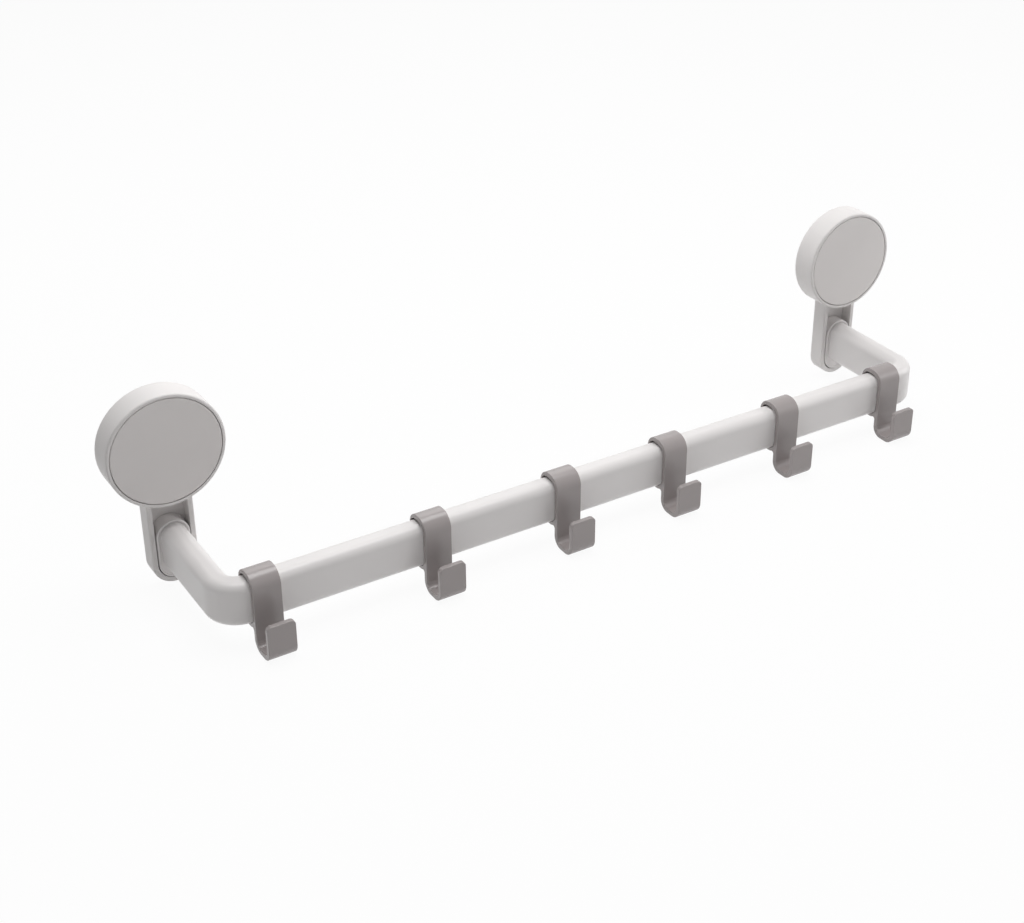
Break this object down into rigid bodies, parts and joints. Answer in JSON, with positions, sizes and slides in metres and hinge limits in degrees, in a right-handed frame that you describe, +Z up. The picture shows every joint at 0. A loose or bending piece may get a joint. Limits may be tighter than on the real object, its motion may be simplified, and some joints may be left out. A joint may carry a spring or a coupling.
{
  "type": "suction towel rail",
  "caption": "Wall rail for towels: oval bar on elbow arms between round suction mounts, with clip-on hooks that slide along the bar.",
  "frame": {"origin": "on the wall plane, halfway between the two suction mounts and level with their axes", "axes": "+X along the rail, +Y into the wall, +Z up"},
  "size_m": [0.57, 0.1116, 0.1277],
  "materials": {
    "mount_white": "satin moulded plastic",
    "cover_pale": "matte moulded plastic",
    "rail_white": "satin moulded plastic",
    "hook_greige": "matte moulded plastic",
    "pad_clear": "smooth soft pad",
    "steel": "plain",
    "nut_plastic": "moulded plastic"
  },
  "bodies": {
    "frame": {"left_housing": "mount_white", "left_cover_disc": "cover_pale", "left_suction_pad": "pad_clear", "left_pad_stud": "steel", "left_washer": "steel", "left_draw_nut": "nut_plastic", "left_elbow_arm": "rail_white", "right_housing": "mount_white", "right_cover_disc": "cover_pale", "right_suction_pad": "pad_clear", "right_pad_stud": "steel", "right_washer": "steel", "right_draw_nut": "nut_plastic", "right_elbow_arm": "rail_white", "rail_tube": "rail_white"},
    "hook_1_body": {"hook_1": "hook_greige"},
    "hook_2_body": {"hook_2": "hook_greige"},
    "hook_3_body": {"hook_3": "hook_greige"},
    "hook_4_body": {"hook_4": "hook_greige"},
    "hook_5_body": {"hook_5": "hook_greige"},
    "hook_6_body": {"hook_6": "hook_greige"}
  },
  "joints": [
    {"name": "hook_1_slide", "type": "slide", "parent": "frame", "child": "hook_1_body", "axis": [1, 0, 0], "range_m": [0, 0.0442]},
    {"name": "hook_2_slide", "type": "slide", "parent": "frame", "child": "hook_2_body", "axis": [1, 0, 0], "range_m": [-0.0442, 0.03575]},
    {"name": "hook_3_slide", "type": "slide", "parent": "frame", "child": "hook_3_body", "axis": [1, 0, 0], "range_m": [-0.03575, 0.03075]},
    {"name": "hook_4_slide", "type": "slide", "parent": "frame", "child": "hook_4_body", "axis": [1, 0, 0], "range_m": [-0.03075, 0.03615]},
    {"name": "hook_5_slide", "type": "slide", "parent": "frame", "child": "hook_5_body", "axis": [1, 0, 0], "range_m": [-0.03615, 0.03505]},
    {"name": "hook_6_slide", "type": "slide", "parent": "frame", "child": "hook_6_body", "axis": [1, 0, 0], "range_m": [-0.03505, 0.004]}
  ]
}
